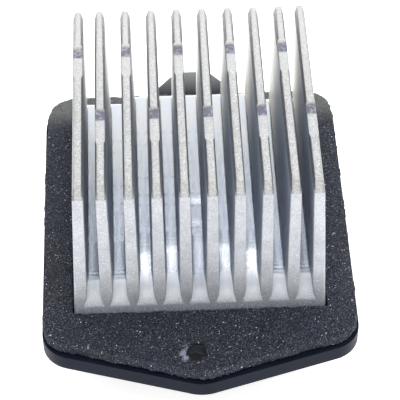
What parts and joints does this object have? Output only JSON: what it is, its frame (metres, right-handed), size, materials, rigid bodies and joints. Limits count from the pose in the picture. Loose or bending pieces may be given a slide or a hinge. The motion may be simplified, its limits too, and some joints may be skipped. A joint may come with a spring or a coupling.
{
  "type": "blower motor regulator module",
  "caption": "Finned cast aluminium heat sink with a foam seal on a pointed black plastic flange and closed driver housing.",
  "frame": {"origin": "middle of the bounding box in X and Y, on the outer face of the rear cover", "axes": "+Z along the fins away from the rear cover; +Y towards the hook tongue; X across the fins"},
  "size_m": [0.078, 0.1088, 0.0684],
  "materials": {
    "cast_aluminium": "die-cast, lightly blasted, brighter on the fin tops",
    "open_cell_foam": "charcoal open-cell foam",
    "black_plastic": "satin injection moulding",
    "board_laminate": "glass-epoxy laminate with solder resist",
    "package_resin": "moulded resin",
    "insulator_sheet": "filled silicone sheet",
    "tinned_metal": "tin plated",
    "steel": "zinc plated",
    "capacitor_sleeve": "shrunk sleeve",
    "film_resin": "dipped resin",
    "ferrite": "coated ferrite ring"
  },
  "bodies": {
    "root": {"heat_sink": "cast_aluminium", "foam_gasket": "open_cell_foam", "flange_housing": "black_plastic", "rear_cover": "black_plastic", "circuit_board": "board_laminate", "power_transistor_1": "package_resin", "power_transistor_2": "package_resin", "insulating_pad_1": "insulator_sheet", "insulating_pad_2": "insulator_sheet", "clamp_spring": "steel", "clamp_screw": "steel", "heat_sink_screw_1": "steel", "heat_sink_screw_2": "steel", "heat_sink_screw_3": "steel", "heat_sink_screw_4": "steel", "cover_screw_1": "steel", "cover_screw_2": "steel", "cover_screw_3": "steel", "cover_screw_4": "steel", "thermal_fuse": "tinned_metal", "shunt_resistor": "tinned_metal", "control_chip": "package_resin", "electrolytic_capacitor": "capacitor_sleeve", "film_capacitor": "film_resin", "choke": "ferrite", "terminal_1": "tinned_metal", "terminal_2": "tinned_metal", "terminal_3": "tinned_metal", "terminal_4": "tinned_metal", "terminal_5": "tinned_metal"}
  },
  "joints": []
}
